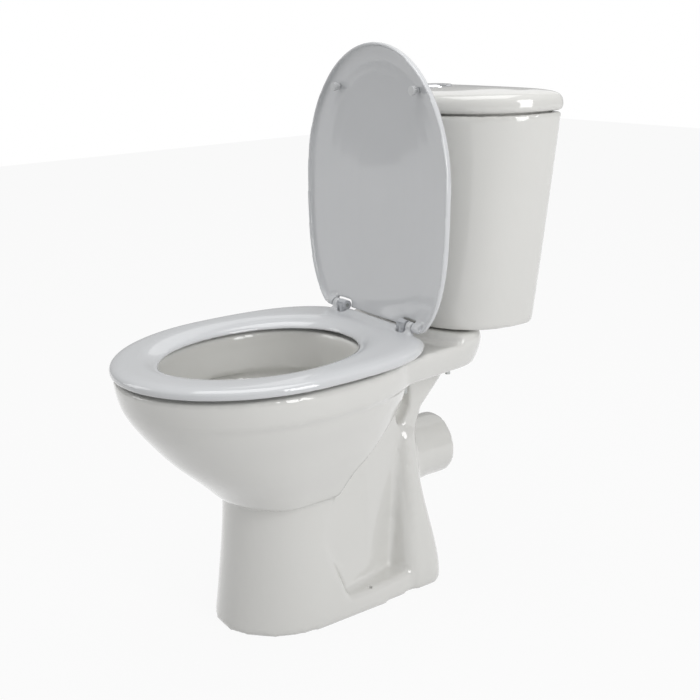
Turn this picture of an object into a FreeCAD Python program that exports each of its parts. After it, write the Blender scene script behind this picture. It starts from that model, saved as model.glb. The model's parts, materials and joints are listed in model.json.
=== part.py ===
import FreeCAD, Part
import math
import os

# A floor-standing close-coupled toilet in millimetres.
# X is left and right with the symmetry plane at 0, -Y is the front, +Y the wall, +Z is up.
# The origin is on the floor, below the middle of the whole object.

os.makedirs("parts", exist_ok=True)

Vec = FreeCAD.Vector
ALONG_X, ALONG_Y, UP = Vec(1, 0, 0), Vec(0, 1, 0), Vec(0, 0, 1)

# Driving dimensions of the ware.
wall_y = 316.0            # the back of the cistern, which stands against the wall
rim_top = 405.0           # top of the bowl's rim and of the deck behind it
widest_y = -95.0          # where the bowl, seat and cover are widest
deck_bottom = 362.0
pad_top = 417.0           # raised pad of the deck, which carries the cistern
deck_rear = 243.0

foot_screw_x = 92.0       # the two empty screw holes, one on each side ledge of the foot
foot_screw_y = 24.0
foot_screw_radius = 3.5

# Driving dimensions of the water way.
outlet_height = 195.0     # axis of the horizontal outlet above the floor
outlet_radius = 51.0      # for a 102 mm pan connector
outlet_bore = 42.0
outlet_start = 180.0      # where the spigot's plain part leaves its thicker root
outlet_end = 230.5
trap_bore = 36.0
core_half_width = 46.0    # of the china round the water way

# Driving dimensions of the cistern.
cistern_bottom = 420.0
cistern_top = 737.0
lid_bottom = 738.5
cistern_wall = 9.0
valve_y = 197.0           # axis of the flush valve and of the inlet in the deck
filler_x = -92.0          # axis of the fill valve
filler_y = 262.0
button_y = 230.0
bolt_x = 72.0             # close-coupling bolts, one each side of the flush valve

wall_hole_x = 110.0       # screw holes in the cistern's back
wall_hole_z = 690.0
wall_hole_radius = 4.0
tail_radius = 10.2        # of the fill valve's tail, which takes the cold feed
tail_top = 408.5
tail_bottom = 372.0
float_arm_length = 40.0
arm_z = 664.0

# Driving dimensions of the seat and its hinge.
seat_top = 427.0
seat_bottom = 410.0
seat_rear = 106.0
hinge_y = 108.0
hinge_z = 436.0
hinge_hole_x = 77.5       # half of the standard spacing of a pan's seat holes
barrel_radius = 7.5
pin_radius = 3.0
running_gap = 0.06        # radial clearance of a pin that something turns on
cover_lean = 92.0         # degrees that the cover turns from closed to its rest on the lid

# Driving dimensions of the flush linkage.
lever_y = valve_y + 15.0
lever_z = 655.0
stem_x = 10.0
rod_foot = 658.7
button_split = -2.5       # the line between the small and the large button
dish_z = 767.5            # lowest point of the dish round the button
button_top = 773.5
sleeve_foot = 740.0       # underside of the bezel's sleeve
stem_foot = 734.0
bezel_hole = 23.2


def save(name, *solids):
    """One solid, or a group of separate solids, becomes one node."""
    whole = solids[0] if len(solids) == 1 else Part.makeCompound(list(solids))
    bad = [s for s in whole.Solids if not s.isValid() or s.Volume <= 0]
    if bad or not whole.Solids:
        raise SystemExit(name + " holds a solid that isn't sound")
    whole.exportStep("parts/" + name + ".step")
    print(name, len(whole.Solids), "solid(s)", round(whole.Volume / 1000.0, 1), "cm3")


def rod(radius, start, length, axis=UP):
    return Part.makeCylinder(radius, length, Vec(*start), axis)


def tube(outer, inner, start, length, axis=UP):
    return rod(outer, start, length, axis).cut(rod(inner, start, length, axis))


def box(low, high):
    size = [b - a for a, b in zip(low, high)]
    return Part.makeBox(size[0], size[1], size[2], Vec(*low))


def mirrored(shape):
    return shape.mirror(Vec(0, 0, 0), ALONG_X)


def both_sides(shape):
    return [shape, mirrored(shape)]


def closed_curve(points):
    curve = Part.BSplineCurve()
    curve.interpolate(Points=points, PeriodicFlag=True)
    return Part.Wire(curve.toShape())


def oval(z, half_width, front, middle, rear, front_power=2.0, rear_power=3.0, count=32):
    """A closed curve, widest at the middle, with its own roundness to the front and to the rear."""
    points = []
    for i in range(count):
        turn = 2.0 * math.pi * i / count
        c, s = math.cos(turn), math.sin(turn)
        power = front_power if s < 0 else rear_power
        reach = middle - front if s < 0 else rear - middle
        x = half_width * math.copysign(abs(c) ** (2.0 / power), c)
        y = middle + reach * math.copysign(abs(s) ** (2.0 / power), s)
        points.append(Vec(x, y, z))
    return closed_curve(points)


def loft(wires):
    return Part.makeLoft(wires, True, False)


def stack(outline, levels):
    """A solid of straight walls between outlines, each level given as its height and inset."""
    return Part.makeLoft([outline(z, inset) for z, inset in levels], True, True)


def fused(shapes):
    return shapes[0].fuse(shapes[1:])


def prism_from_side(points, half_width):
    """A side outline, as (y, z) points, drawn out evenly to both sides of the middle."""
    corners = [Vec(-half_width, y, z) for y, z in points]
    face = Part.Face(Part.makePolygon(corners + corners[:1]))
    return face.extrude(Vec(2.0 * half_width, 0, 0))


# The pan: one piece of vitreous china.

def rim_band():
    """The upright band round the top of the bowl, which stands out a little over the bowl's side."""
    # height, half width, front, rear
    stations = [(364, 175.5, -305, 124), (385, 179, -310, 124), (rim_top, 180, -312, 124)]
    return loft([oval(z, w, f, widest_y, r, 2.0, 2.6) for z, w, f, r in stations])


def bowl_outside():
    # height, half width, front, rear
    stations = [(390, 171, -309, 118), (366, 170, -305.5, 118), (341, 164, -293, 114),
                (311, 151, -272, 107), (281, 139, -248, 101), (250, 124, -218, 95),
                (228, 113, -196, 89), (206, 104, -175, 82)]
    return loft([oval(z, w, f, widest_y, r, 2.0, 2.6) for z, w, f, r in stations])


def pedestal_outside():
    # height, half width, front, rear
    stations = [(0, 103, -188, 178), (26, 101, -183, 176), (60, 98, -178, 168),
                (109, 94, -171, 160), (160, 91, -165, 150), (190, 91, -163, 146),
                (222, 94, -166, 140)]
    return loft([oval(z, w, f, -60, r, 2.0, 3.6) for z, w, f, r in stations])


def rear_column():
    # height, half width, front, rear
    stations = [(0, 99, 84, 180), (30, 98, 88, 179), (100, 85, 96, 168),
                (170, 68, 104, 158), (250, 52, 116, 158)]
    return loft([oval(z, w, f, 0.5 * (f + r), r, 3.2, 3.2) for z, w, f, r in stations])


def core():
    """The china behind the bowl and round the water way, between the two flank recesses."""
    side = [(-30, 60), (140, 60), (128, 200), (120, 262), (112, 300), (104, 372), (-10, 372),
            (-30, 240)]
    plan = [(84, -32), (84, -20), (72, 36), (55, 88), (48, 112), (core_half_width, 150)]
    corners = [Vec(x, y, 0) for x, y in plan] + [Vec(-x, y, 0) for x, y in reversed(plan)]
    inside = Part.Face(Part.makePolygon(corners + corners[:1])).extrude(Vec(0, 0, rim_top))
    web = prism_from_side([(90, 230), (150, 230), (170, 372), (90, 372)], 26)
    return inside.common(prism_from_side(side, 100)).fuse(web)


def side_recess():
    """The hollow in each flank: seen from the side it follows the bowl's back, and in plan it cuts in
    towards the water way."""
    side = [(-18, 34), (-34, 78), (-52, 116), (-60, 148), (-50, 176), (-29, 209), (-9, 243),
            (20, 275), (46, 303), (68, 322), (84, 338), (90, deck_bottom), (270, deck_bottom),
            (270, 34)]
    plan = [(95, -76), (84, -20), (72, 36), (55, 88), (48, 112), (48, 275), (230, 275), (230, -76)]
    flank = prism_from_side(side, 230)
    corners = [Vec(x, y, 0) for x, y in plan]
    beside = Part.Face(Part.makePolygon(corners + corners[:1])).extrude(Vec(0, 0, rim_top))
    return fused(both_sides(beside)).common(flank)


def deck_outline(z, inset):
    """The deck seen from above: its sides draw in slightly to a rear edge with broad corners."""
    half = [(0, 10), (105, 14), (146, 40), (147, 80), (140, 130), (135, 180), (121, 222), (78, 241),
            (0, deck_rear)]
    mid = 125.0
    shrunk = [(x * (1.0 - inset / 140.0), mid + (y - mid) * (1.0 - inset / 118.0)) for x, y in half]
    left = [(-x, y) for x, y in reversed(shrunk[1:-1])]
    return closed_curve([Vec(x, y, z) for x, y in shrunk + left])


def deck():
    slab = loft([deck_outline(deck_bottom, 12), deck_outline(384, 4), deck_outline(rim_top, 0)])
    front_radius = 269.0
    pad = loft([deck_outline(rim_top - 3, 0), deck_outline(pad_top, 3)])
    behind = rod(front_radius, (0, 140 + front_radius, 380), 60)
    return [slab, pad.common(behind)]


def outlet_gusset():
    """The web below the deck, which holds the cistern's inlet and runs down to the outlet."""
    side = [(142, 372), (224, 372), (221, deck_bottom), (207, 325), (166, 282), (150, 235),
            (110, 235), (142, 290)]
    return prism_from_side(side, core_half_width)


def trap(radius):
    """The water way: down below the bowl, up over the weir and out of the horizontal outlet."""
    # y, z and the slope of the path in degrees
    path = [(-2, 76, -24), (45, 68, 0), (86, 84, 42), (108, 125, 78), (120, 165, 68),
            (146, outlet_height, 14), (172, outlet_height, 0)]
    rings = []
    for y, z, slope in path:
        angle = math.radians(slope)
        along = Vec(0, math.cos(angle), math.sin(angle))
        rings.append(Part.Wire(Part.makeCircle(radius, Vec(0, y, z), along)))
    return loft(rings)


def bowl_inside():
    # height, half width, front, middle, rear
    stations = [(341, 146, -270, -95, 72), (312, 128, -250, -93, 64), (281, 107, -224, -88, 56),
                (250, 88, -190, -78, 50), (215, 70, -148, -52, 46), (180, 55, -102, -26, 44),
                (140, 43, -64, -8, 44), (100, 37, -46, 0, 45), (66, 30, -28, 6, 40)]
    return loft([oval(z, w, f, m, r, 2.0, 1.95) for z, w, f, m, r in stations])


def rim_opening():
    """Straight inside wall of the rim, which hangs over the bowl."""
    top = oval(rim_top + 1, 131, -258, widest_y, 52, 2.0, 2.4)
    low = oval(338, 128, -254, widest_y, 50, 2.0, 2.4)
    return loft([low, top])


def rim_channel():
    """The flush water's channel round the rim, open below behind the rim's inside wall."""
    outer = loft([oval(338, 146, -270, widest_y, 74, 2.0, 2.4),
                  oval(390, 164, -292, widest_y, 90, 2.0, 2.4)])
    inner = loft([oval(330, 137, -262, widest_y, 60, 2.0, 2.4),
                  oval(392, 141, -268, widest_y, 62, 2.0, 2.4)])
    return outer.cut(inner)


def flush_inlet():
    """Round inlet in the deck, its recess for the rubber ring, and the duct forward to the rim."""
    hole = rod(29, (0, valve_y, 376), 60)
    recess = rod(44, (0, valve_y, 398), 40)
    duct = Part.makeCylinder(15, 128, Vec(0, valve_y, 384), Vec(0, -1, -0.08))
    return fused([hole, recess, duct])


def pedestal_hollows():
    front = loft([oval(z, w, f, -90, r, 2.0, 2.6) for z, w, f, r in
                  [(-1, 88, -174, -40), (60, 82, -165, -52), (140, 66, -150, -94)]])
    rear = loft([oval(z, w, f, 0.5 * (f + r), r, 3.5, 3.5) for z, w, f, r in
                 [(-1, 84, 124, 170), (70, 66, 140, 162)]])
    return [front, rear]


def make_pan():
    shell = pedestal_outside().cut(side_recess())
    bowl = bowl_outside().cut(side_recess())
    outside = fused([shell, rear_column(), core(), outlet_gusset(), rim_band()] + deck())
    for hollow in pedestal_hollows():
        outside = outside.cut(hollow)
    spout = rod(outlet_radius, (0, outlet_start, outlet_height), outlet_end - outlet_start, ALONG_Y)
    spout_root = rod(outlet_radius + 1.2, (0, 112, outlet_height), outlet_start - 112, ALONG_Y)
    outside = fused([outside, bowl, spout, spout_root])
    outside = outside.cut(bowl_inside())
    outside = outside.cut(rim_opening())
    outside = outside.cut(rim_channel())
    outside = outside.cut(trap(trap_bore))
    outside = outside.cut(rod(outlet_bore, (0, 170, outlet_height), 100, ALONG_Y))
    outside = outside.cut(flush_inlet())
    for side in (-1, 1):
        outside = outside.cut(rod(7.5, (side * hinge_hole_x, hinge_y, 340), 80))
        outside = outside.cut(rod(5.5, (side * bolt_x, valve_y, 340), 90))
        outside = outside.cut(rod(foot_screw_radius, (side * foot_screw_x, foot_screw_y, -5), 60))
    return outside


# The cistern and its lid: two more pieces of vitreous china.

cistern_heights = [cistern_bottom, 482, 560, 650, cistern_top]
middle_shift = 0.62       # how far an inset outline's widest place moves forward, for each mm


def cistern_outline(z, inset=0.0):
    """A flat back with rounded corners and a bowed front, wider towards the top."""
    rise = (z - cistern_bottom) / (cistern_top - cistern_bottom)
    half_width = 153.0 + 41.0 * rise
    front = 152.0 - 4.0 * rise
    middle = 272.0 + 10.0 * rise - middle_shift * inset
    return oval(z, half_width - inset, front + inset, middle, wall_y - 1 - inset,
                2.5 - 0.3 * rise, 4.5 + 3.0 * rise, 40)


def make_cistern():
    body = loft([cistern_outline(z) for z in cistern_heights])
    floor = cistern_bottom + cistern_wall
    inside = loft([cistern_outline(z, cistern_wall) for z in [floor] + cistern_heights[1:-1]]
                  + [cistern_outline(cistern_top + 2, cistern_wall)])
    body = body.cut(inside)
    body = body.cut(rod(25.0, (0, valve_y, cistern_bottom - 5), 20))
    body = body.cut(rod(11.2, (filler_x, filler_y, cistern_bottom - 5), 20))
    for side in (-1, 1):
        body = body.cut(rod(4.8, (side * bolt_x, valve_y, cistern_bottom - 5), 20))
        body = body.cut(rod(wall_hole_radius, (side * wall_hole_x, 290, wall_hole_z), 40, ALONG_Y))
    return body


def lid_outline(z, inset):
    middle = 283 - middle_shift * inset
    return oval(z, 197 - inset, 145 + inset, middle, wall_y - inset, 2.2, 7.0, 40)


def make_cistern_lid():
    # height and inset of each level, up the side and over the crown
    outside = [(lid_bottom, 1.2), (lid_bottom + 1.5, 0), (752.5, 0), (757, 1), (761, 3.5), (764, 8),
               (766, 14), (768.3, 26), (770.3, 44), (771.7, 62), (772.4, 78)]
    inside = [(lid_bottom - 1, 22), (748, 22), (753, 24), (757.5, 30), (760.5, 42), (762.5, 60)]
    body = stack(lid_outline, outside).cut(stack(lid_outline, inside))
    lip = stack(cistern_outline, [(728, cistern_wall + 2.5), (742, cistern_wall + 2.5)])
    lip = lip.cut(stack(cistern_outline, [(727, cistern_wall + 8.5), (743, cistern_wall + 8.5)]))
    boss = rod(32, (0, button_y, 754), 15.5)
    dish_radius = 300.0
    dish = Part.makeSphere(dish_radius, Vec(0, button_y, dish_z + dish_radius))
    return body.fuse([lip, boss]).cut(dish).cut(rod(bezel_hole, (0, button_y, 700), 100))


# The push button in the lid.

def half_disc(radius, start, length, side, gap):
    """The part of a disc on one side of the line between the two buttons."""
    disc = rod(radius, start, length)
    edge = button_split + side * 0.5 * gap
    low_x, high_x = (edge, 60) if side > 0 else (-60, edge)
    return disc.common(box((low_x, button_y - 60, start[2] - 1), (high_x, button_y + 60, start[2] + 80)))


def make_button_bezel():
    sleeve = tube(22.5, 20.5, (0, button_y, sleeve_foot), 31)
    flange = tube(28, 20.5, (0, button_y, dish_z + 1.8), 3.4)
    flange = flange.makeChamfer(1.4, [e for e in flange.Edges if e.BoundBox.ZMin > dish_z + 5.1
                                      and e.BoundBox.XLength > 50])
    floor = rod(21.5, (0, button_y, sleeve_foot), 2.5)
    body = sleeve.fuse([flange, floor])
    for x in (-stem_x, stem_x):
        body = body.cut(rod(3.2, (x, button_y, stem_foot), 20))
    return body.cut(rod(1.5, (button_split, button_y, stem_foot), 20))


def make_button(side):
    top = half_disc(20.0, (0, button_y, button_top - 5), 5, side, 1.2)
    rounded = [e for e in top.Edges if e.BoundBox.ZMin > button_top - 0.1]
    top = top.makeFillet(1.2, rounded)
    stem = rod(2.6, (side * stem_x, button_y, stem_foot), button_top - 5 - stem_foot)
    socket = rod(4.4, (side * stem_x, button_y, 762), button_top - 5 - 762)
    return top.fuse([stem, socket])


def make_button_spring(side):
    """A compression spring round the stem, from the bezel's floor to the button's socket."""
    low, high, wire = sleeve_foot + 3.4, 761.0, 0.5
    pitch = (high - low) / 5.0
    path = Part.makeHelix(pitch, high - low, 4.6)
    start = Part.Wire(Part.makeCircle(wire, Vec(4.6, 0, 0), ALONG_Y))
    coil = Part.Wire(path.Edges).makePipeShell([start], True, True)
    coil.translate(Vec(side * stem_x, button_y, low))
    return coil


def make_push_rod(side):
    """A plastic rod that hangs from a button's stem down to its lever."""
    socket = rod(4.0, (side * stem_x, button_y, stem_foot - 16), 15.8)
    shaft = rod(2.5, (side * stem_x, button_y, rod_foot + 4), stem_foot - 16 - rod_foot - 4)
    foot = rod(3.5, (side * stem_x, button_y, rod_foot), 4)
    return socket.fuse([shaft, foot])


# The flush valve below the button.

def make_flush_valve_body():
    """Cage with its threaded outlet below and the two lever brackets on its top plate."""
    tail = tube(23.9, 20, (0, valve_y, 392), 40)
    flange = tube(34, 20, (0, valve_y, 432), 4)
    seat = tube(24, 20, (0, valve_y, 436), 4)
    cage = tube(32, 29, (0, valve_y, 436), 204)
    for turn in range(3):
        window = box((-40, valve_y - 11, 442), (40, valve_y + 11, 486))
        cage = cage.cut(window.rotate(Vec(0, valve_y, 0), UP, 60.0 * turn + 30))
    plate = rod(34, (0, valve_y, 640), 4).cut(rod(15, (0, valve_y, 630), 30))
    body = tail.fuse([flange, seat, cage, plate])
    for side in (-1, 1):
        low, high = sorted((side * 23.0, side * 26.0))
        body = body.fuse(box((low, lever_y - 6, 643), (high, lever_y + 6, lever_z + 6)))
        start = min(side * 15.5, side * 24.0)
        body = body.fuse(rod(2.0, (start, lever_y, lever_z), 8.5, ALONG_X))
    return body


def make_flush_lever(side):
    """A rocking lever: the push rod presses its rear, and its front lifts the overflow tube's collar.
    The small button's lever has a lower front, so it rises some way before it meets the collar."""
    low = lever_z - (2.5 if side > 0 else 8.5)
    front = box((16, lever_y - 22, low), (21.5, lever_y + 3, low + 5))
    front = front.fuse(box((16, lever_y - 3, low), (21.5, lever_y + 3, lever_z + 2.5)))
    rear = box((6.5, lever_y + 2, lever_z - 2.5), (21.5, lever_y + 24, lever_z + 2.5))
    lever = front.fuse(rear).cut(rod(2.0 + running_gap, (10, lever_y, lever_z), 20, ALONG_X))
    return lever if side > 0 else mirrored(lever)


def make_overflow_tube():
    """The lifting part: a tube with a collar for the levers and a carrier for the seal."""
    body = rod(14, (0, valve_y, 446), 254)
    body = body.fuse([rod(22, (0, valve_y, 659.5), 3), rod(26, (0, valve_y, 446), 4)])
    return body.cut(rod(12, (0, valve_y, 440), 270))


def make_flush_seal():
    return tube(26, 12.2, (0, valve_y, 440.4), 5.6)


def hex_nut(radius, bore, start, height):
    """A six-sided nut with this distance from its middle to each flat."""
    corners = []
    for i in range(7):
        turn = math.pi / 3.0 * i
        across = radius / math.cos(math.pi / 6.0)
        corners.append(Vec(start[0] + across * math.cos(turn), start[1] + across * math.sin(turn), start[2]))
    return Part.Face(Part.makePolygon(corners)).extrude(Vec(0, 0, height)).cut(rod(bore, start, height))


# The fill valve at one side of the cistern.

def make_fill_valve_body():
    shank = rod(10.4, (filler_x, filler_y, tail_top), 432 - tail_top)
    tail = rod(tail_radius, (filler_x, filler_y, tail_bottom), tail_top - tail_bottom)
    flange = rod(18, (filler_x, filler_y, 432), 4)
    riser = rod(9.5, (filler_x, filler_y, 436), 196)
    head = rod(18, (filler_x, filler_y, 630), 26)
    body = tail.fuse([shank, flange, riser, head])
    for y in (filler_y - 8, filler_y + 5):
        body = body.fuse(box((filler_x - 6, y, 655), (filler_x + 6, y + 3, arm_z + 5)))
    body = body.fuse(rod(2.0, (filler_x, filler_y - 6, arm_z), 12, ALONG_Y))
    return body.cut(rod(6, (filler_x, filler_y, 370), 180))


def make_float_arm():
    arm = box((filler_x - 7, filler_y - 4.2, arm_z - 2.5), (filler_x + 45, filler_y + 4.2, arm_z + 2.5))
    return arm.cut(rod(2.0 + running_gap, (filler_x, filler_y - 10, arm_z), 20, ALONG_Y))


def make_float():
    """A cup that rides up the riser and pushes the arm up through its link."""
    cup = tube(31, 10.5, (filler_x, filler_y, 505), 44)
    ear = box((filler_x + 28, filler_y - 4, 530), (filler_x + 46, filler_y + 4, 537))
    link = rod(2.2, (filler_x + float_arm_length, filler_y, 531), arm_z - 4.2 - 531)
    return cup.fuse([ear, link])


def make_refill_tube():
    """The flexible tube from the fill valve's head to the open top of the overflow tube."""
    start = Vec(filler_x + 18.2, filler_y, 645)
    corner = Vec(filler_x + 34, filler_y - 4, 645)
    top = Vec(-30, valve_y + 24, 712)
    over = Vec(-4, valve_y + 3, 722)
    end = Vec(-4, valve_y + 3, 690)
    pieces = []
    points = [start, corner, top, over, end]
    for a, b in zip(points, points[1:]):
        pieces.append(Part.makeCylinder(3.0, (b - a).Length, a, b - a))
    for p in points[1:-1]:
        pieces.append(Part.makeSphere(3.0, p))
    return pieces[0].fuse(pieces[1:])


# Fasteners between the cistern and the pan.

def make_wing_nut(x, y, z, bore, wing):
    """A round body with two flat wings, below a washer at height z."""
    body = rod(wing * 0.45, (x, y, z - 9), 9)
    wings = box((x - wing, y - 1.4, z - 11), (x + wing, y + 1.4, z - 1.5))
    return body.fuse(wings).cut(rod(bore, (x, y, z - 15), 20))


def coupling_bolt(x):
    return rod(4.0, (x, valve_y, 338), 97).fuse(rod(8.0, (x, valve_y, 434.4), 4.5))


# The seat, its cover and their hinge.

def seat_outline(z, inset):
    return oval(z, 186 - inset, -wall_y + inset, widest_y, 135 - inset, 2.0, 3.0)


def seat_opening(z, grow):
    return oval(z, 118 + grow, -245 - grow, widest_y, 54 + grow, 2.0, 2.1)


def make_seat_ring():
    outer = [(seat_bottom, 2.5), (411.5, 1), (414, 0), (418, 0), (420.5, 1), (422.5, 3), (424.2, 6),
             (425.5, 10), (426.5, 15), (seat_top, 22)]
    inner = [(seat_bottom - 1, 0), (412, 0.5), (415, 2), (418, 5), (420.5, 9), (422.8, 14), (424.8, 19),
             (426.3, 25), (seat_top + 0.1, 33)]
    ring = stack(seat_outline, outer).cut(stack(seat_opening, inner))
    under = stack(seat_outline, [(seat_bottom - 1, 6), (417, 6), (420, 9), (422, 15)])
    under = under.cut(stack(seat_opening, [(seat_bottom - 2, 5), (414, 7), (419, 14), (423, 23)]))
    under = under.common(box((-200, -330, 400), (200, seat_rear - 16, 430)))
    ring = ring.cut(under)
    ring = ring.common(box((-200, -330, 400), (200, seat_rear, 440)))
    bar = [(90, 419), (90, 426.6), (97, 428.4), (104, 431.2), (108, 432.2), (111.5, 432.2), (111.5, 419)]
    ring = ring.fuse(prism_from_side(bar, 66.5))
    for side in (-1, 1):
        low, high = sorted((side * 67.5, side * 87.0))
        ring = ring.cut(box((low, 99.3, 400), (high, 140, 440)))
        ring = ring.cut(rod(18.2, (side * hinge_hole_x, hinge_y + 0.5, 400), 14.5))
        knuckle = rod(barrel_radius, (min(side * 87.5, side * 101.5), hinge_y, hinge_z), 14, ALONG_X)
        web_side = [(94, 418), (106, 418), (111, 431), (102, 433), (98, 427)]
        web = prism_from_side(web_side, 7).translate(Vec(side * 94.5, 0, 0))
        bore = rod(pin_radius + running_gap, (min(side * 80, side * 110), hinge_y, hinge_z), 30, ALONG_X)
        ring = ring.fuse([knuckle, web]).cut(bore)
    return ring


def buffer_pad(x, y, low, high, long_x, wide_y):
    """An oblong pad with rounded ends."""
    half = 0.5 * (long_x - wide_y)
    pad = box((x - half, y - 0.5 * wide_y, low), (x + half, y + 0.5 * wide_y, high))
    return pad.fuse([rod(0.5 * wide_y, (x - half, y, low), high - low),
                     rod(0.5 * wide_y, (x + half, y, low), high - low)])


def cover_outline(z, inset):
    return oval(z, 174 - inset, -295 + inset, widest_y, 141 - inset, 2.0, 3.2)


def opened(shape):
    """A piece of the cover, drawn closed over the seat, swung up to its rest against the lid."""
    return shape.rotate(Vec(0, hinge_y, hinge_z), ALONG_X, -cover_lean)


def make_seat_cover():
    outer = [(430, 1.2), (431.5, 0), (437, 0), (439.5, 1), (441.3, 3), (442.6, 6.5), (443.6, 12),
             (445, 24), (446.6, 42), (448.2, 68), (449.3, 95), (450, 120)]
    inner = [(429, 4), (435.5, 4), (437.3, 5), (438.6, 8), (439.6, 13), (441, 25), (442.6, 43),
             (444.2, 69), (445.3, 96), (445.9, 118)]
    shell = stack(cover_outline, outer).cut(stack(cover_outline, inner))
    shell = shell.common(box((-200, -320, 420), (200, 112, 470)))
    for side in (-1, 1):
        low, high = sorted((side * 67.0, side * 102.2))
        shell = shell.cut(box((low, 100.6, 420), (high, 130, 470)))
        start = min(side * 102.5, side * 118.0)
        knuckle = rod(barrel_radius, (start, hinge_y, hinge_z), 15.5, ALONG_X)
        web_side = [(94, 441), (94, 445), (111, 445), (112, 438), (102, 436)]
        web = prism_from_side(web_side, 7.75).translate(Vec(side * 110.25, 0, 0))
        shell = shell.fuse([knuckle, web])
        shell = shell.cut(rod(pin_radius + running_gap, (min(side * 90, side * 116.5), hinge_y, hinge_z),
                              26.5, ALONG_X))
    return opened(shell)


def make_cover_buffers():
    pads = []
    for side in (-1, 1):
        head = rod(6.5, (side * 96, hinge_y - 338, 427.6), 5)
        stem = rod(4.5, (side * 96, hinge_y - 338, 432), 7.2)
        pads.append(opened(head.fuse(stem)))
    return pads


def make_hinge_pillar(side):
    """A barrel on a post, which stands on the deck over the fixing hole."""
    x = side * hinge_hole_x
    barrel = rod(barrel_radius, (x - 8.5, hinge_y, hinge_z), 17, ALONG_X)
    post = rod(8.0, (x, hinge_y, rim_top), hinge_z - rim_top)
    foot = rod(17.0, (x, hinge_y + 0.5, rim_top), 4).fuse(Part.makeCone(17, 9, 4, Vec(x, hinge_y + 0.5,
                                                                             rim_top + 4)))
    ribs = [box((x - 8.5 + 3.0 * i, hinge_y - barrel_radius - 0.4, hinge_z - 5),
                (x - 7.5 + 3.0 * i, hinge_y - barrel_radius + 1.0, hinge_z + 5)) for i in range(6)]
    return barrel.fuse([post, foot] + ribs).cut(rod(pin_radius, (x - 20, hinge_y, hinge_z), 40, ALONG_X))


def make_hinge_pins():
    return [rod(pin_radius, (min(side * 69.0, side * 116.0), hinge_y, hinge_z), 47, ALONG_X)
            for side in (-1, 1)]


def make_hinge_bolt(side):
    """A stud moulded into the pillar's foot, through the deck."""
    return rod(3.9, (side * hinge_hole_x, hinge_y, 328), rim_top - 328)


def each_side(make):
    return [make(-1), make(1)]


def at_hinge_holes(make):
    return [make(side * hinge_hole_x, hinge_y) for side in (-1, 1)]


def at_bolts(make):
    return [make(side * bolt_x, valve_y) for side in (-1, 1)]


save("pan", make_pan())
save("cistern", make_cistern())
save("cistern_lid", make_cistern_lid())

save("button_bezel", make_button_bezel())
save("button_bezel_nut", hex_nut(30, 22.7, (0, button_y, 747), 6.5))
save("full_flush_button", make_button(1))
save("half_flush_button", make_button(-1))
save("full_flush_spring", make_button_spring(1))
save("half_flush_spring", make_button_spring(-1))
save("full_flush_push_rod", make_push_rod(1))
save("half_flush_push_rod", make_push_rod(-1))

save("flush_valve_body", make_flush_valve_body())
save("full_flush_lever", make_flush_lever(1))
save("half_flush_lever", make_flush_lever(-1))
save("overflow_tube", make_overflow_tube())
save("flush_seal", make_flush_seal())
save("flush_valve_washer", tube(33, 24.2, (0, valve_y, 429), 3))
save("flush_valve_nut", hex_nut(32, 24.1, (0, valve_y, 408), 11.5))
save("coupling_ring", tube(42.5, 24.3, (0, valve_y, 398.4), 9.2))

save("fill_valve_body", make_fill_valve_body())
save("fill_valve_float", make_float())
save("float_arm", make_float_arm())
save("fill_valve_washer", tube(18, 10.8, (filler_x, filler_y, 429), 3))
save("fill_valve_nut", hex_nut(16, 10.6, (filler_x, filler_y, 410), 9.5))
save("refill_tube", make_refill_tube())

save("coupling_bolts", *[coupling_bolt(side * bolt_x) for side in (-1, 1)])
save("coupling_bolt_seals", *at_bolts(lambda x, y: tube(12, 4.2, (x, y, 429), 5.2)))
save("coupling_bolt_washers", *at_bolts(lambda x, y: tube(12, 4.2, (x, y, deck_bottom - 2.2), 2)))
save("coupling_wing_nuts", *at_bolts(lambda x, y: make_wing_nut(x, y, deck_bottom - 2.4, 4.1, 14)))

save("seat_ring", make_seat_ring())
save("seat_buffers", *[buffer_pad(side * x, y, rim_top + 0.35, 421, 26, 12)
                       for side in (-1, 1) for x, y in ((103, -231), (146, 26))])
save("seat_cover", make_seat_cover())
save("cover_buffers", *make_cover_buffers())
save("hinge_pillars", *each_side(make_hinge_pillar))
save("hinge_pins", *make_hinge_pins())
save("hinge_studs", *each_side(make_hinge_bolt))
save("hinge_washers", *at_hinge_holes(lambda x, y: tube(12, 4.1, (x, y, deck_bottom - 3.2), 3)))
save("hinge_wing_nuts", *at_hinge_holes(lambda x, y: make_wing_nut(x, y, deck_bottom - 3.4, 4.0, 13)))
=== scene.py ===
import json
import math

import bmesh
import bpy
from mathutils import Matrix, Vector


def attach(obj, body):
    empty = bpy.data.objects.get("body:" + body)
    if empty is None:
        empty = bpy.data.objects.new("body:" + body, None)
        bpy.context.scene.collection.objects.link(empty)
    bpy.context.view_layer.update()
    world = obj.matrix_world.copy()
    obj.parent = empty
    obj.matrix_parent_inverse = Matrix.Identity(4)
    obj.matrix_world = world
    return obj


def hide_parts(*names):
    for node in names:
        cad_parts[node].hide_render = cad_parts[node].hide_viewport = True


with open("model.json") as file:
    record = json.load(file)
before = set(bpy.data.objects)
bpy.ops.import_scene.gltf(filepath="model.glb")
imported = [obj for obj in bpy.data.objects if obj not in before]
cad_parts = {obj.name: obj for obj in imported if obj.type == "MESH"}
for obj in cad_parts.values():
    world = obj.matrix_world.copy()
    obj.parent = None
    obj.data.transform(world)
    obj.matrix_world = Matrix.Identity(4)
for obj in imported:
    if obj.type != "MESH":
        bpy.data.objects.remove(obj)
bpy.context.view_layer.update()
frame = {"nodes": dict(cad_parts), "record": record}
print("frame loaded")

# A camera held level with the top of the cistern, looking down a little at the ware.
view = {
    "azimuth": 56.9, "elevation": 17.1, "distance": 1.6, "roll": -2.1,
    "target": (0.0, 0.0155, 0.4), "lens": 54.6, "sensor": 36.0,
    "shift": (0.0373, -0.0036),
}


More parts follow.
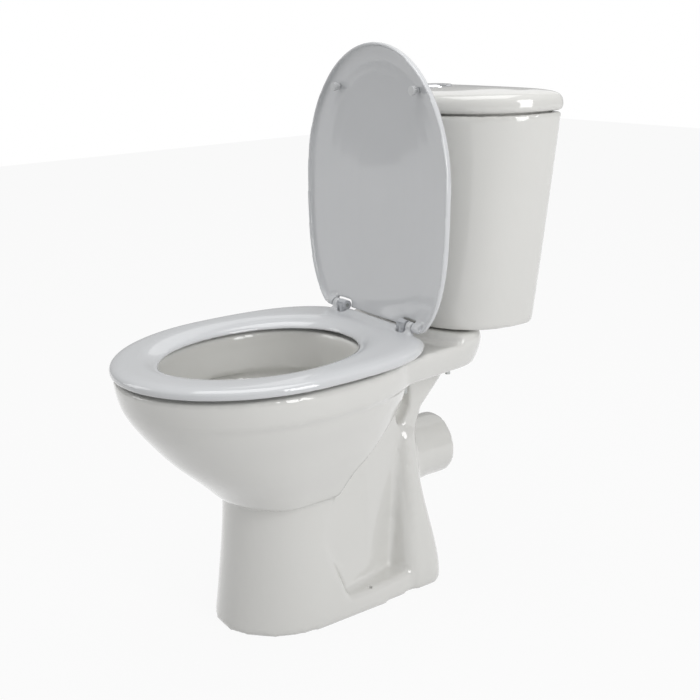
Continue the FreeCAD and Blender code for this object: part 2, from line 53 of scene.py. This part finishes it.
def placeCamera(spec):
    azimuth = math.radians(spec["azimuth"])
    elevation = math.radians(spec["elevation"])
    roll = math.radians(spec["roll"])
    back = Vector((math.sin(azimuth) * math.cos(elevation),
                   -math.cos(azimuth) * math.cos(elevation), math.sin(elevation)))
    level = Vector((math.cos(azimuth), math.sin(azimuth), 0.0))
    upright = level.cross(-back)
    right = level * math.cos(roll) + upright * math.sin(roll)
    up = upright * math.cos(roll) - level * math.sin(roll)
    place = Vector(spec["target"]) + back * spec["distance"]
    lens = bpy.data.cameras.new("camera")
    lens.lens = spec["lens"]
    lens.sensor_width = spec["sensor"]
    lens.shift_x, lens.shift_y = spec["shift"]
    holder = bpy.data.objects.new("camera", lens)
    turn = Matrix((right, up, back)).transposed().to_4x4()
    holder.matrix_world = Matrix.Translation(place) @ turn
    bpy.context.scene.collection.objects.link(holder)
    bpy.context.scene.camera = holder


placeCamera(view)
bpy.context.scene.view_settings.view_transform = "Standard"
print("camera placed")


# Patterns shared by the materials, each one node group. A spread is (from, to) in the noise.

patterns = {
    "toneDetail": 3.0, "toneRoughness": 0.45, "toneSpread": (0.3, 0.75),
    "smudgeScale": 9.0, "smudgeDetail": 4.0,
    "streakScale": 70.0, "streakDetail": 5.0, "streakRoughness": 0.65,
    "sheenSpread": (0.18, 0.42),
    "waveScale": 11.0, "waveDetail": 2.0, "grainDetail": 2.0,
    "reliefDepth": 0.001,
}


def newGroup(name, inputs, outputs):
    group = bpy.data.node_groups.new(name, "ShaderNodeTree")
    for title, kind, value in inputs:
        socket = group.interface.new_socket(name=title, in_out="INPUT", socket_type=kind)
        socket.default_value = value
    for title, kind in outputs:
        group.interface.new_socket(name=title, in_out="OUTPUT", socket_type=kind)
    return group, group.nodes.new("NodeGroupInput"), group.nodes.new("NodeGroupOutput")


def addNode(tree, kind, settings=None, values=None):
    node = tree.nodes.new(kind)
    for key, value in (settings or {}).items():
        setattr(node, key, value)
    for key, value in (values or {}).items():
        node.inputs[key].default_value = value
    return node


def noiseAt(tree, place, scale, detail, roughness=0.5):
    noise = addNode(tree, "ShaderNodeTexNoise",
                    values={"Scale": scale, "Detail": detail, "Roughness": roughness})
    tree.links.new(place, noise.inputs["Vector"])
    return noise.outputs["Fac"]


def spread(tree, value, reach):
    node = addNode(tree, "ShaderNodeMapRange",
                   values={"From Min": reach[0], "From Max": reach[1]})
    tree.links.new(value, node.inputs[0])
    return node.outputs[0]


def scaledBy(tree, value, factor):
    node = addNode(tree, "ShaderNodeMath", {"operation": "MULTIPLY"})
    tree.links.new(value, node.inputs[0])
    tree.links.new(factor, node.inputs[1])
    return node.outputs[0]


# Broad, faint differences of colour across a surface, as glaze and mouldings have.
def buildTone():
    group, given, result = newGroup(
        "toneDrift", [("Colour", "NodeSocketColor", (0.8, 0.8, 0.8, 1.0)),
                      ("Deep Colour", "NodeSocketColor", (0.7, 0.7, 0.7, 1.0)),
                      ("Scale", "NodeSocketFloat", 6.0)],
        [("Colour", "NodeSocketColor")])
    place = group.nodes.new("ShaderNodeTexCoord").outputs["Object"]
    noise = addNode(group, "ShaderNodeTexNoise", values={"Detail": patterns["toneDetail"],
                                                            "Roughness": patterns["toneRoughness"]})
    group.links.new(place, noise.inputs["Vector"])
    group.links.new(given.outputs["Scale"], noise.inputs["Scale"])
    amount = spread(group, noise.outputs["Fac"], patterns["toneSpread"])
    mix = addNode(group, "ShaderNodeMix", {"data_type": "RGBA"})
    group.links.new(amount, mix.inputs["Factor"])
    group.links.new(given.outputs["Colour"], mix.inputs["A"])
    group.links.new(given.outputs["Deep Colour"], mix.inputs["B"])
    group.links.new(mix.outputs["Result"], result.inputs["Colour"])
    return group


# Smudges and wiping marks, which change only how rough the surface is.
def buildSheen():
    group, given, result = newGroup(
        "sheenDrift", [("Smooth", "NodeSocketFloat", 0.08), ("Rough", "NodeSocketFloat", 0.2)],
        [("Roughness", "NodeSocketFloat")])
    place = group.nodes.new("ShaderNodeTexCoord").outputs["Object"]
    broad = noiseAt(group, place, patterns["smudgeScale"], patterns["smudgeDetail"])
    fine = noiseAt(group, place, patterns["streakScale"], patterns["streakDetail"],
                   patterns["streakRoughness"])
    both = scaledBy(group, broad, fine)
    amount = spread(group, both, patterns["sheenSpread"])
    mix = addNode(group, "ShaderNodeMix", {"data_type": "FLOAT"})
    group.links.new(amount, mix.inputs["Factor"])
    group.links.new(given.outputs["Smooth"], mix.inputs["A"])
    group.links.new(given.outputs["Rough"], mix.inputs["B"])
    group.links.new(mix.outputs["Result"], result.inputs["Roughness"])
    return group


# Slow waves of a glaze or moulding with a fine orange peel on top.
def buildRelief():
    group, given, result = newGroup(
        "surfaceRelief", [("Waves", "NodeSocketFloat", 1.0), ("Grain", "NodeSocketFloat", 0.1),
                          ("Grain Scale", "NodeSocketFloat", 600.0)],
        [("Height", "NodeSocketFloat")])
    place = group.nodes.new("ShaderNodeTexCoord").outputs["Object"]
    swell = noiseAt(group, place, patterns["waveScale"], patterns["waveDetail"])
    waves = scaledBy(group, swell, given.outputs["Waves"])
    grain = addNode(group, "ShaderNodeTexNoise", values={"Detail": patterns["grainDetail"]})
    group.links.new(place, grain.inputs["Vector"])
    group.links.new(given.outputs["Grain Scale"], grain.inputs["Scale"])
    fine = scaledBy(group, grain.outputs["Fac"], given.outputs["Grain"])
    total = addNode(group, "ShaderNodeMath", {"operation": "ADD"})
    group.links.new(waves, total.inputs[0])
    group.links.new(fine, total.inputs[1])
    group.links.new(total.outputs[0], result.inputs["Height"])
    return group


toneGroup = buildTone()
sheenGroup = buildSheen()
reliefGroup = buildRelief()


def groupNode(tree, group, values=None):
    node = tree.nodes.new("ShaderNodeGroup")
    node.node_tree = group
    for key, value in (values or {}).items():
        node.inputs[key].default_value = value
    return node


def makeSurface(name, spec):
    material = bpy.data.materials.new(name)
    material.use_nodes = True
    tree = material.node_tree
    shader = tree.nodes["Principled BSDF"]
    tone = groupNode(tree, toneGroup, {"Colour": (*spec["colour"], 1.0),
                                       "Deep Colour": (*spec["deep"], 1.0),
                                       "Scale": spec["toneScale"]})
    tree.links.new(tone.outputs["Colour"], shader.inputs["Base Color"])
    sheen = groupNode(tree, sheenGroup, {"Smooth": spec["smooth"], "Rough": spec["rough"]})
    tree.links.new(sheen.outputs["Roughness"], shader.inputs["Roughness"])
    relief = groupNode(tree, reliefGroup, {"Waves": spec["waves"], "Grain": spec["grain"],
                                           "Grain Scale": spec["grainScale"]})
    bump = addNode(tree, "ShaderNodeBump", values={"Strength": spec["bump"],
                                                   "Distance": patterns["reliefDepth"]})
    tree.links.new(relief.outputs["Height"], bump.inputs["Height"])
    tree.links.new(bump.outputs["Normal"], shader.inputs["Normal"])
    shader.inputs["Metallic"].default_value = spec.get("metallic", 0.0)
    shader.inputs["Coat Weight"].default_value = spec.get("coat", 0.0)
    shader.inputs["Coat Roughness"].default_value = spec.get("coatRoughness", 0.03)
    shader.inputs["IOR"].default_value = spec.get("ior", 1.5)
    return material


surfaces = {
    "china": {"colour": (0.785, 0.780, 0.755), "deep": (0.755, 0.752, 0.725), "toneScale": 5.0,
              "smooth": 0.06, "rough": 0.12, "waves": 1.3, "grain": 0.05, "grainScale": 420.0,
              "bump": 0.3, "coat": 0.8, "ior": 1.55},
    "seat_plastic": {"colour": (0.700, 0.712, 0.728), "deep": (0.680, 0.692, 0.708), "toneScale": 7.0,
                     "smooth": 0.07, "rough": 0.14, "waves": 0.5, "grain": 0.08, "grainScale": 700.0,
                     "bump": 0.2, "coat": 0.7, "ior": 1.52},
    "hinge_plastic": {"colour": (0.60, 0.615, 0.64), "deep": (0.55, 0.565, 0.59), "toneScale": 20.0,
                      "smooth": 0.3, "rough": 0.42, "waves": 0.3, "grain": 0.15, "grainScale": 900.0,
                      "bump": 0.3},
    "buffer_plastic": {"colour": (0.72, 0.73, 0.735), "deep": (0.66, 0.67, 0.68), "toneScale": 30.0,
                       "smooth": 0.4, "rough": 0.55, "waves": 0.3, "grain": 0.2, "grainScale": 900.0,
                       "bump": 0.3},
    "chrome": {"colour": (0.78, 0.79, 0.81), "deep": (0.70, 0.71, 0.73), "toneScale": 25.0,
               "smooth": 0.05, "rough": 0.12, "waves": 0.2, "grain": 0.03, "grainScale": 900.0,
               "bump": 0.15, "metallic": 1.0},
    "valve_plastic": {"colour": (0.70, 0.71, 0.69), "deep": (0.62, 0.63, 0.60), "toneScale": 18.0,
                      "smooth": 0.38, "rough": 0.55, "waves": 0.4, "grain": 0.25, "grainScale": 800.0,
                      "bump": 0.35},
    "lever_plastic": {"colour": (0.08, 0.17, 0.38), "deep": (0.06, 0.13, 0.30), "toneScale": 30.0,
                      "smooth": 0.35, "rough": 0.5, "waves": 0.3, "grain": 0.25, "grainScale": 900.0,
                      "bump": 0.3},
    "nut_plastic": {"colour": (0.035, 0.035, 0.04), "deep": (0.02, 0.02, 0.022), "toneScale": 25.0,
                    "smooth": 0.38, "rough": 0.58, "waves": 0.3, "grain": 0.3, "grainScale": 800.0,
                    "bump": 0.35},
    "rubber": {"colour": (0.025, 0.025, 0.026), "deep": (0.045, 0.044, 0.042), "toneScale": 22.0,
               "smooth": 0.6, "rough": 0.82, "waves": 0.4, "grain": 0.4, "grainScale": 700.0,
               "bump": 0.4},
    "seal_rubber": {"colour": (0.30, 0.05, 0.04), "deep": (0.22, 0.04, 0.03), "toneScale": 22.0,
                    "smooth": 0.5, "rough": 0.7, "waves": 0.4, "grain": 0.3, "grainScale": 700.0,
                    "bump": 0.35},
    "zinc_steel": {"colour": (0.55, 0.56, 0.56), "deep": (0.42, 0.44, 0.42), "toneScale": 60.0,
                   "smooth": 0.25, "rough": 0.48, "waves": 0.3, "grain": 0.3, "grainScale": 1100.0,
                   "bump": 0.35, "metallic": 1.0},
    "spring_steel": {"colour": (0.50, 0.50, 0.52), "deep": (0.40, 0.40, 0.41), "toneScale": 90.0,
                     "smooth": 0.2, "rough": 0.38, "waves": 0.2, "grain": 0.2, "grainScale": 1200.0,
                     "bump": 0.2, "metallic": 1.0},
    "tube_plastic": {"colour": (0.60, 0.62, 0.61), "deep": (0.54, 0.56, 0.55), "toneScale": 20.0,
                     "smooth": 0.25, "rough": 0.4, "waves": 0.4, "grain": 0.1, "grainScale": 500.0,
                     "bump": 0.25},
}
materials = {name: makeSurface(name + "Surface", spec) for name, spec in surfaces.items()}
slotOf = {row["node"]: row["material_slot"] for row in frame["record"]["subparts"]}
print("materials made")


# The cast ware and the mouldings have soft edges, so each is drawn again from its plain shape.

def linked(name, mesh):
    piece = bpy.data.objects.new(name, mesh)
    bpy.context.scene.collection.objects.link(piece)
    return piece


# The mesh a piece has once its modifiers have worked.
def settledMesh(piece):
    bpy.context.view_layer.update()
    return bpy.data.meshes.new_from_object(
        piece.evaluated_get(bpy.context.evaluated_depsgraph_get()))


def makeCutter(place):
    cutter = bmesh.new()
    bmesh.ops.create_cone(cutter, cap_ends=True, segments=softening["holeSides"],
                          radius1=softening["holeRadius"], radius2=softening["holeRadius"],
                          depth=softening["holeDepth"])
    bmesh.ops.translate(cutter, verts=cutter.verts, vec=place)
    mesh = bpy.data.meshes.new("cutter")
    cutter.to_mesh(mesh)
    cutter.free()
    return linked("cutter", mesh)


# The even grid blurs small bores, so they are cut again afterwards.
def drill(piece, places):
    cutters = [makeCutter(place) for place in places]
    for cutter in cutters:
        cut = piece.modifiers.new("drill", "BOOLEAN")
        cut.operation = "DIFFERENCE"
        cut.solver = "EXACT"
        cut.object = cutter
    drilled = settledMesh(piece)
    piece.modifiers.clear()
    piece.data = drilled
    for cutter in cutters:
        bpy.data.objects.remove(cutter)


# A copy of a plain shape on an even grid, its edges worn round as glaze rounds them.
def softened(node, spec):
    plain = bmesh.new()
    plain.from_mesh(frame["nodes"][node].data)
    bmesh.ops.remove_doubles(plain, verts=plain.verts, dist=softening["mergeDistance"])
    mesh = bpy.data.meshes.new(spec["name"])
    plain.to_mesh(mesh)
    plain.free()
    mesh.materials.clear()
    piece = linked(spec["name"], mesh)
    grid = piece.modifiers.new("evenGrid", "REMESH")
    grid.mode = "VOXEL"
    grid.voxel_size = spec["cell"]
    settled = settledMesh(piece)
    piece.modifiers.clear()
    shape = bmesh.new()
    shape.from_mesh(settled)
    for _ in range(spec["passes"]):
        bmesh.ops.smooth_vert(shape, verts=shape.verts, factor=softening["smoothing"],
                              use_axis_x=True, use_axis_y=True, use_axis_z=True)
    shape.to_mesh(settled)
    shape.free()
    piece.data = settled
    if "holes" in spec:
        drill(piece, spec["holes"])
    piece.data.name = spec["name"]
    piece.data.materials.clear()
    piece.data.materials.append(materials[slotOf[node]])
    piece.data.polygons.foreach_set("use_smooth", [True] * len(piece.data.polygons))
    piece.data.update()
    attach(piece, spec["body"])
    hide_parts(node)
    print(spec["name"], "has", len(piece.data.polygons), "faces")


softening = {"mergeDistance": 0.00001, "smoothing": 0.5,
             "holeSides": 24, "holeRadius": 0.0035, "holeDepth": 0.06}
softPieces = {
    "pan": {"name": "glazed_pan", "body": "ware", "cell": 0.0044, "passes": 4,
            "holes": [(-0.092, 0.024, 0.02), (0.092, 0.024, 0.02)]},
    "cistern": {"name": "glazed_cistern", "body": "ware", "cell": 0.004, "passes": 5},
    "cistern_lid": {"name": "glazed_lid", "body": "lid", "cell": 0.003, "passes": 6},
    "seat_ring": {"name": "moulded_seat", "body": "seat", "cell": 0.0021, "passes": 8},
    "seat_cover": {"name": "moulded_cover", "body": "cover", "cell": 0.0018, "passes": 5},
}
for node, spec in softPieces.items():
    softened(node, spec)

for node, drawn in frame["nodes"].items():
    if node not in softPieces:
        for place in drawn.material_slots:
            place.material = materials[slotOf[node]]
print("pieces made")


# Floor, light and background. The camera sees a plain white, and only the light is shaded.

surround = {"floorSize": 6.0, "floorDrop": 0.0005, "floorTone": (0.55, 0.55, 0.55, 1.0),
            "floorRoughness": 0.9, "floorGlow": 0.93, "white": (1.0, 1.0, 1.0, 1.0),
            "ambient": 0.42}


# One where a ray is of either kind, and nought elsewhere.
def eitherRay(tree, first, second):
    rays = tree.nodes.new("ShaderNodeLightPath")
    either = addNode(tree, "ShaderNodeMath", {"operation": "MAXIMUM"})
    tree.links.new(rays.outputs[first], either.inputs[0])
    tree.links.new(rays.outputs[second], either.inputs[1])
    return either.outputs[0]


def mixShaders(tree, share, first, second, surface):
    mix = tree.nodes.new("ShaderNodeMixShader")
    tree.links.new(share, mix.inputs[0])
    tree.links.new(first.outputs[0], mix.inputs[1])
    tree.links.new(second.outputs[0], mix.inputs[2])
    tree.links.new(mix.outputs[0], surface)


def makeFloor(spec):
    sheet = bmesh.new()
    bmesh.ops.create_grid(sheet, x_segments=1, y_segments=1, size=spec["floorSize"])
    bmesh.ops.translate(sheet, verts=sheet.verts, vec=(0.0, 0.0, -spec["floorDrop"]))
    mesh = bpy.data.meshes.new("floor")
    sheet.to_mesh(mesh)
    sheet.free()
    floor = linked("floor", mesh)
    material = bpy.data.materials.new("floorPaint")
    material.use_nodes = True
    tree = material.node_tree
    paint = tree.nodes["Principled BSDF"]
    paint.inputs["Base Color"].default_value = spec["floorTone"]
    paint.inputs["Roughness"].default_value = spec["floorRoughness"]
    glow = addNode(tree, "ShaderNodeEmission", values={"Color": spec["white"], "Strength": 1.0})
    share = addNode(tree, "ShaderNodeMath", {"operation": "MULTIPLY"}, {1: spec["floorGlow"]})
    tree.links.new(eitherRay(tree, "Is Camera Ray", "Is Glossy Ray"), share.inputs[0])
    mixShaders(tree, share.outputs[0], paint, glow,
               tree.nodes["Material Output"].inputs["Surface"])
    floor.data.materials.append(material)


def makeWorld(spec):
    world = bpy.data.worlds.new("studio")
    bpy.context.scene.world = world
    world.use_nodes = True
    tree = world.node_tree
    soft = tree.nodes["Background"]
    soft.inputs["Color"].default_value = spec["white"]
    soft.inputs["Strength"].default_value = spec["ambient"]
    shown = addNode(tree, "ShaderNodeBackground", values={"Color": spec["white"], "Strength": 1.0})
    mixShaders(tree, eitherRay(tree, "Is Camera Ray", "Is Transmission Ray"), soft, shown,
               tree.nodes["World Output"].inputs["Surface"])


def addLamp(name, spec):
    lamp = bpy.data.lights.new(name, "AREA")
    lamp.shape = "RECTANGLE"
    lamp.size, lamp.size_y = spec["size"]
    lamp.energy = spec["power"]
    holder = bpy.data.objects.new(name, lamp)
    place = Vector(spec["place"])
    holder.matrix_world = (Matrix.Translation(place)
                           @ (place - Vector(spec["aim"])).to_track_quat("Z", "Y").to_matrix().to_4x4())
    bpy.context.scene.collection.objects.link(holder)


makeFloor(surround)
makeWorld(surround)
lamps = {
    "frontLamp": {"place": (-1.5, -2.0, 1.6), "aim": (0.0, 0.0, 0.35),
                  "size": (1.0, 1.6), "power": 9.0},
    "sideLamp": {"place": (2.3, 0.35, 1.15), "aim": (0.0, 0.0, 0.4),
                 "size": (0.9, 1.7), "power": 24.0},
    "backLamp": {"place": (-1.2, 1.8, 2.2), "aim": (0.0, 0.0, 0.4),
                 "size": (2.4, 1.6), "power": 6.0},
    "topLamp": {"place": (0.1, -0.1, 2.5), "aim": (0.0, 0.0, 0.4),
                "size": (1.6, 1.6), "power": 17.0},
}
for name, spec in lamps.items():
    addLamp(name, spec)
print("lamps placed")
